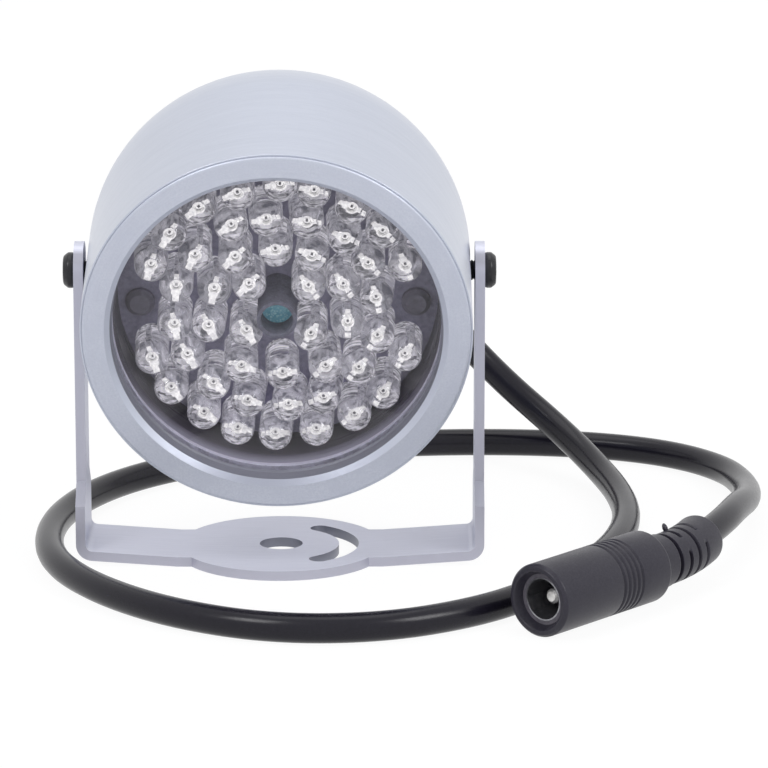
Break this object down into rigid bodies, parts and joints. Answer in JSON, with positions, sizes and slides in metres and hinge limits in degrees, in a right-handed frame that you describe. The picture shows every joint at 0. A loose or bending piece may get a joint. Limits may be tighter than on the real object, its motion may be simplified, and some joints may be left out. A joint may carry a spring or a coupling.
{
  "type": "infrared illuminator",
  "caption": "Round metal infrared lamp with clear diodes in rings behind a flat window, tilting in a folded bracket, with a lead that ends in a power socket.",
  "frame": {"origin": "centre of the bracket's round hub, on the face that lies on the mounting surface", "axes": "+Z away from the mounting surface, +Y from the lamp's window towards its cable, +X along the pivot screws"},
  "size_m": [0.1083, 0.1081, 0.071],
  "materials": {
    "bracket_aluminium": "satin, bead-blasted sheet",
    "housing_aluminium": "satin, finely brushed casting",
    "ring_aluminium": "satin, turned",
    "screw_black": "black, semi-gloss",
    "window_clear": "clear, polished",
    "seal_rubber": "matte",
    "spacer_grey": "satin grey",
    "board_dark": "dark solder mask, slightly glossy",
    "diode_clear": "water-clear moulded lens",
    "sensor_teal": "teal filter, satin",
    "hood_black": "matte",
    "resistor_body": "glossy lacquer",
    "transistor_black": "matte mould",
    "wire_red": "glossy insulation",
    "wire_black": "glossy insulation",
    "lead_black": "smooth, soft sheen",
    "socket_black": "fine-grained mould",
    "insert_black": "smooth",
    "contact_plated": "bright plated"
  },
  "bodies": {
    "lamp": {"pivot_screws": "screw_black", "housing_shell": "housing_aluminium", "front_ring": "ring_aluminium", "window_glass": "window_clear", "window_gasket": "seal_rubber", "spacer_sleeve": "spacer_grey", "led_board": "board_dark", "board_screws": "screw_black", "leds_outer_ring": "diode_clear", "leds_middle_ring": "diode_clear", "leds_inner_ring": "diode_clear", "leds_centre": "diode_clear", "light_sensor": "sensor_teal", "sensor_hood": "hood_black", "board_resistors": "resistor_body", "switch_transistor": "transistor_black", "positive_wire": "wire_red", "negative_wire": "wire_black", "cable_bush": "seal_rubber", "power_lead": "lead_black", "socket_body": "socket_black", "socket_insert": "insert_black", "contact_sleeve": "contact_plated", "centre_pin": "contact_plated"},
    "bracket": {"mounting_bracket": "bracket_aluminium"}
  },
  "joints": [
    {"name": "bracket_tilt", "type": "hinge", "parent": "lamp", "child": "bracket", "pos_m": [0, 0, 0.0425], "axis": [1, 0, 0], "range_deg": [-90, 60]}
  ]
}
